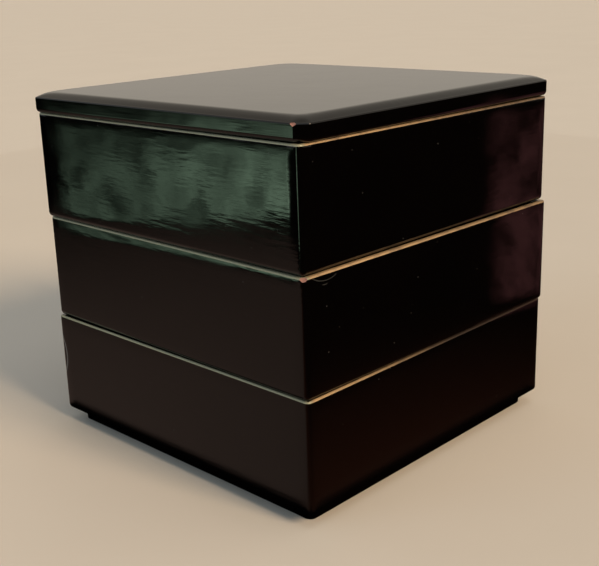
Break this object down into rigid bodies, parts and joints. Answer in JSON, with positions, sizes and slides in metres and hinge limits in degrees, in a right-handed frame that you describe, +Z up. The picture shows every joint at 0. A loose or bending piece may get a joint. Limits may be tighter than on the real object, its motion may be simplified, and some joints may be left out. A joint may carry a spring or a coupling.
{
  "type": "tiered lacquer box",
  "caption": "Square stacking box in gloss black lacquer with gold-painted rims: open tiers nest by a recessed foot under a lift-off lid with cut corners.",
  "frame": {"origin": "under the middle of the whole outline seen from above, at the height of the lower tier's underside", "axes": "+Z up; X and Y run along the lower tier's walls, and the two worn corners are at +X, -Y"},
  "size_m": [0.2028, 0.2028, 0.1928],
  "materials": {
    "black_lacquer": "polished black lacquer on a wooden core, with a line of gold paint on top of each tier's rim and light wear at two corners"
  },
  "bodies": {
    "root": {"lower_tier": "black_lacquer", "middle_tier": "black_lacquer", "upper_tier": "black_lacquer", "lid": "black_lacquer"}
  },
  "joints": []
}
